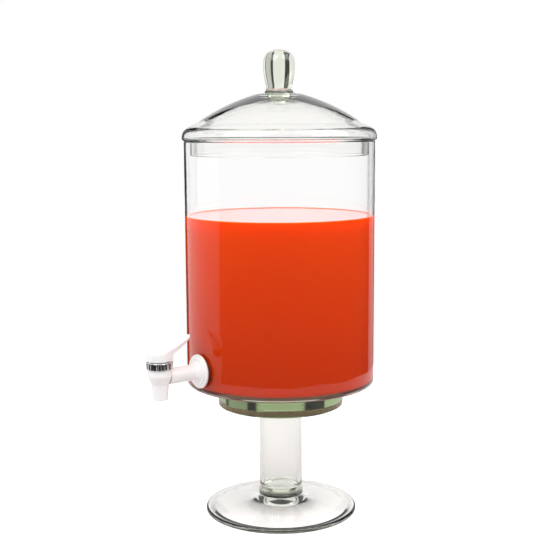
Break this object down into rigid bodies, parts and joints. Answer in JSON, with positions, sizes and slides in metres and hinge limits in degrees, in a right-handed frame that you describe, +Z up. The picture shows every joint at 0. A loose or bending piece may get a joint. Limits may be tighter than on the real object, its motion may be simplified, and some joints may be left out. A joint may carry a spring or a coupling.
{
  "type": "footed dispenser jar",
  "caption": "Tall lidded glass dispenser jar on a stem and foot, part filled with red-orange liquid, with a quarter-turn tap low on its side.",
  "frame": {"origin": "centre of the ring that the foot stands on", "axes": "+Z up along the jar's axis, -Y towards the tap, +X to the right of someone facing the tap"},
  "size_m": [0.1936, 0.2503, 0.4683],
  "materials": {
    "clear_glass": "polished",
    "red_liquid": "gloss",
    "white_plastic": "satin",
    "chrome_ring": "polished",
    "soft_seal": "matte",
    "steel_screw": "satin"
  },
  "bodies": {
    "dispenser": {"pedestal_foot": "clear_glass", "pedestal_stem": "clear_glass", "pedestal_plate": "clear_glass", "jar": "clear_glass", "liquid_fill": "red_liquid", "tap_body": "white_plastic", "tap_collar": "chrome_ring", "outer_gasket": "soft_seal", "inner_gasket": "soft_seal", "pressure_washer": "white_plastic", "shank_nut": "white_plastic"},
    "lid": {"lid": "clear_glass", "lid_knob": "clear_glass"},
    "tap_handle": {"tap_handle": "white_plastic", "tap_plug": "white_plastic", "plug_seal_ring": "soft_seal", "handle_screw": "steel_screw"}
  },
  "joints": [
    {"name": "lid_lift", "type": "slide", "parent": "dispenser", "child": "lid", "axis": [0, 0, 1], "range_m": [0, 0.1]},
    {"name": "tap_turn", "type": "hinge", "parent": "dispenser", "child": "tap_handle", "pos_m": [0, -0.141, 0.1586], "axis": [0, 0, -1], "range_deg": [0, 90]}
  ]
}
